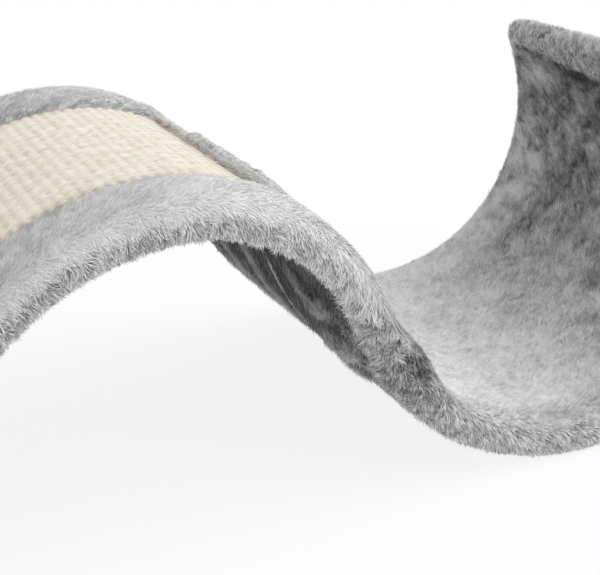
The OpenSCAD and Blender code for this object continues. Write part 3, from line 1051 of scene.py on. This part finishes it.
class SCRATCHER_OT_ends(bpy.types.Operator):
    """Make the plush turned over the toe and the tip"""

    bl_idname = "scratcher.ends"
    bl_label = "Turned Ends"

    def execute(self, context):
        dress = Dress()
        wave = dress.wave
        half_l = dress.edge_y + dress.round_l / 2
        lengths = (2 * dress.board.end_turn + dress.round_l, 2 * half_l)
        ends = (("tip_edge", wave.tip_s, 1, 53), ("toe_edge", wave.toe_s, -1, 61))
        for name, end_s, way, seed in ends:

            def shape(u, v, end_s=end_s, way=way):
                return dress.ended(lengths[0] * u, half_l * (2 * v - 1) * way, end_s, way)

            plush_cover(name, lengths, shape, top_tone(dress), seed, name + "_cover")
        return {"FINISHED"}


# Folds of the slack lining: run and distance across at both ends, half width and height, all in mm.
LINING_FOLDS = (
    (112, -48, 136, -56, 6, 3),
    (137, -52, 132, -90, 5, 4),
    (168, -46, 150, -106, 6, 5),
    (188, -36, 178, -86, 8, 4),
    (118, 30, 190, 12, 9, 2),
    (120, 84, 200, 60, 8, 2),
    (-160, -60, -90, -40, 9, 3),
    (-150, 50, -70, 74, 8, 3),
    (300, -50, 380, -70, 9, 2.5),
    (310, 60, 400, 44, 9, 2.5),
)


def fold_share(s, y):
    """Share of a fold's height at a place under the board, less than nothing beside it, and that height."""
    best = (0, 0)
    for s0, y0, s1, y1, half_w, height in LINING_FOLDS:
        way = Vector((s1 - s0, y1 - y0))
        from_end = Vector((s / MM - s0, y / MM - y0))
        along = from_end.dot(way) / way.length_squared
        off = from_end.cross(way) / way.length + 4 * noise.noise(Vector((along * way.length / 25, s0, 0)))
        fall = 0.6 * (off / half_w) ** 2
        rise = (1 - fall) * math.exp(-fall) * smooth_step(3 * along + 0.5) * smooth_step(3.5 - 3 * along)
        if abs(rise) > abs(best[0]):
            best = (rise, height * MM)
    return best


class SCRATCHER_OT_lining(bpy.types.Operator):
    """Make the slack plush panels under the board, with the seam between them"""

    bl_idname = "scratcher.lining"
    bl_label = "Lining"

    def execute(self, context):
        dress = Dress()
        wave = dress.wave
        first_s = wave.toe_s + dress.board.end_turn
        run = wave.tip_s - dress.board.end_turn - first_s
        outer_y = dress.edge_y - dress.board.edge_turn
        seam_y = -dress.board.seam_off
        panels = (("near_lining", seam_y, -outer_y, 71), ("far_lining", outer_y, seam_y, 83))
        for name, y0, y1, seed in panels:

            def shape(u, v, y0=y0, y1=y1):
                s, y = first_s + run * u, y0 + (y1 - y0) * v
                spot = dress.spot(s, y, -dress.half, 0, -1)
                beside = abs(y - seam_y) / (2.4 * MM)
                clear = ramp(spot.place.z, 8, 25)
                rise, height = fold_share(s, y)
                spot.rise = rise * clear
                spot.place += spot.out * (spot.rise * height + clear * 2 * MM * math.exp(-beside * beside))
                spot.bare = math.exp(-(beside**4)) * clear
                return spot

            lengths = (run, abs(y1 - y0))
            plush_cover(name, lengths, shape, lining_tone, seed, name, lining=True)
        return {"FINISHED"}


class SCRATCHER_OT_sisal(bpy.types.Operator):
    """Make the woven sisal mat and its loose fibres"""

    bl_idname = "scratcher.sisal"
    bl_label = "Sisal Mat"

    def execute(self, context):
        dress = Dress()
        wave, sisal, tones = dress.wave, dress.sisal, settings().colours
        first_s = wave.window_s0 + sisal.mat_gap
        run = wave.window_s1 - sisal.mat_gap - first_s
        half_w = dress.window_y - sisal.mat_gap
        lengths = (run, 2 * half_w)
        rib_n = dress.board.core_t / 2 + sisal.backing_t + sisal.weave_t

        def woven(u, v):
            # Each rib is a round cord, crossed on the slant by loops of yarn with pits between them.
            s, y = first_s + run * u, half_w * (2 * v - 1)
            rib = (s - first_s) / sisal.rib_pitch
            row = math.floor(rib)
            offset = noise.cell(Vector((row + 0.5, 0.5, 7.5)))
            loop = y / sisal.loop_pitch + offset - 0.8 * (rib - row)
            loop += 0.35 * noise.noise(Vector((row * 3.1, y / (7 * MM), 0)))
            pick = noise.cell(Vector((row + 0.5, math.floor(loop) + 0.5, 0.5)))
            cord = math.sin(math.pi * (rib - row)) ** 0.6
            yarn = 1 - abs(2 * (loop % 1) - 1) ** 3
            n = rib_n + sisal.rib_rise * (0.38 + 0.36 * cord + 0.12 * yarn * cord + 0.08 * (pick - 0.5))
            # The weave's shade is painted: in the pits between loops, deeper or lighter at random, in the
            # valleys between ribs, along the long edges under the borders' folds and at the end under the
            # roll.
            pit = (1 - yarn) * (0.3 + pick * (1.2 - 0.7 * cord)) + 0.24 * (1 - cord) ** 1.5
            rim = smooth_step((abs(2 * v - 1) - 0.96) / 0.03) * (1 - cord)
            end = 0.7 * smooth_step((u - 0.988) / 0.012)
            return wave.place(s, y, n), (pit + 0.9 * max(rim, end),)

        rows = round(run / sisal.rib_pitch * WEAVE_STEPS)
        columns = round(2 * half_w / sisal.loop_pitch * WEAVE_STEPS)
        mat = new_object("sisal_weave", grid_mesh("sisal_weave", rows, columns, woven, ("pit",)))
        for corner in mat.data.uv_layers[WEAVE_MAP].data:
            corner.uv = (corner.uv[0] * run, corner.uv[1] * 2 * half_w)
        mat.data.materials.append(sisal_weave(tones))
        thicken(mat, sisal.weave_t)

        def loose(u, v):
            # Fibres lie across the mat, more of them near its edges, and fray upwards at the roll.
            s, y = first_s + run * u, half_w * (2 * v - 1)
            along, up = wave.axes(s)
            edge = max(abs(v - 0.5), abs(u - 0.5))
            frayed = smooth_step((u - 0.975) / 0.02) * (0.6 + 0.6 * patches(wave.place(s, y, 0), 7 * MM, 6.4))
            rising = along.lerp(up, min(max(0.75 * frayed, 0), 0.6)).normalized()
            spot = Spot(wave.place(s, y, rib_n + 0.7 * sisal.rib_rise), up, rising, ACROSS, s, y)
            part = 0.6 + 3 * smooth_step((edge - 0.44) / 0.06) + 9 * max(frayed, 0)
            return spot.place, combed(spot, settings().fibre, part, 0.75 - 0.35 * frayed)

        dye = finish("Loose sisal fibre", strand_finish, tones.sisal_pit, tones.sisal_light)
        fibres = grown_pile("sisal_fibres", settings().fibre, "straight_strand", dye, lengths, loose, 97)
        declare(mat, [fibres], "sisal_mat")
        return {"FINISHED"}


class SCRATCHER_OT_core(bpy.types.Operator):
    """Finish the board, the staples and the latex under the plush"""

    bl_idname = "scratcher.core"
    bl_label = "Board Finishes"

    def execute(self, context):
        tones = settings().colours
        along = bent_plywood("Face ply", tones.ply_light, tones.ply_dark, (60, 3, 60))
        cross = bent_plywood("Cross ply", tones.ply_light, tones.ply_dark, (3, 60, 3))
        finishes = {
            "core_bottom_ply": along,
            "core_middle_ply": cross,
            "core_top_ply": along,
            "cover_staples": staple_wire(tones.wire),
            "mat_backing": latex_backing(tones.latex),
        }
        for node, chosen in finishes.items():
            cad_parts[node].material_slots[0].material = chosen
        return {"FINISHED"}


class SCRATCHER_OT_stage(bpy.types.Operator):
    """Set the pale floor, the soft lights and the camera"""

    bl_idname = "scratcher.stage"
    bl_label = "Studio"

    def execute(self, context):
        studio = settings().studio
        scene = context.scene
        scene.view_settings.view_transform = "Standard"
        bm = bmesh.new()
        bmesh.ops.create_grid(bm, x_segments=2, y_segments=2, size=FLOOR_HALF)
        floor = as_mesh(bm, "floor")
        # Light table: matt white acrylic that glows a little, so shadows on it stay soft and pale.
        paper, tree, shader = new_finish("Light table", 0.9, 0.1)
        glow = {"Emission Color": WHITE, "Emission Strength": studio.table_glow}
        feed(tree, shader, {"Base Color": opaque(settings().colours.paper), **glow})
        floor.materials.append(paper)
        new_object("floor", floor)
        key = bpy.data.lights.new("key", "SUN")
        key.angle = studio.key_spread
        key.energy = studio.key_power
        new_object("key", key).rotation_euler = (studio.key_front, studio.key_side, 0)
        world = bpy.data.worlds.new("Studio")
        world.use_nodes = True
        sky = world.node_tree
        feed(sky, sky.nodes["Background"], {"Color": WHITE, "Strength": studio.sky})
        scene.world = world
        lens = bpy.data.cameras.new("Camera")
        lens.sensor_width = FILM_W
        lens.lens = studio.focal_px / IMAGE_W * FILM_W
        camera = new_object("Camera", lens)
        camera.location = (studio.camera_x - Dress().wave.middle_x, studio.camera_y, studio.camera_z)
        camera.rotation_euler = (math.pi / 2 - studio.camera_pitch, 0, -studio.camera_yaw)
        scene.camera = camera
        return {"FINISHED"}


class SCRATCHER_PT_panel(bpy.types.Panel):
    """Steps that make the scratcher"""

    bl_label = "Cat Scratcher"
    bl_space_type = "VIEW_3D"
    bl_region_type = "UI"
    bl_category = "Scratcher"

    def draw(self, context):
        for step in STEPS:
            self.layout.operator(step.bl_idname)


STEPS = (
    SCRATCHER_OT_stage,
    SCRATCHER_OT_core,
    SCRATCHER_OT_sisal,
    SCRATCHER_OT_borders,
    SCRATCHER_OT_lounge,
    SCRATCHER_OT_toe,
    SCRATCHER_OT_ends,
    SCRATCHER_OT_lining,
)
GROUPS = (
    WaveSizes, BoardSizes, SisalSizes, FacePile, EdgePile, LiningPile, StrayFibre, Colours, StudioSettings,
    ScratcherSettings
)
CLASSES = (*GROUPS, *STEPS, SCRATCHER_PT_panel)


def register():
    for kind in CLASSES:
        bpy.utils.register_class(kind)
    bpy.types.Scene.scratcher = PointerProperty(type=ScratcherSettings)


def unregister():
    del bpy.types.Scene.scratcher
    for kind in reversed(CLASSES):
        bpy.utils.unregister_class(kind)


def main():
    register()
    bpy.ops.scratcher.stage()
    bpy.ops.scratcher.core()
    bpy.ops.scratcher.sisal()
    bpy.ops.scratcher.borders()
    bpy.ops.scratcher.lounge()
    bpy.ops.scratcher.toe()
    bpy.ops.scratcher.ends()
    bpy.ops.scratcher.lining()
    for name in STRAND_KINDS:
        bpy.data.objects.remove(bpy.data.objects[name])


if __name__ == "__main__":
    main()
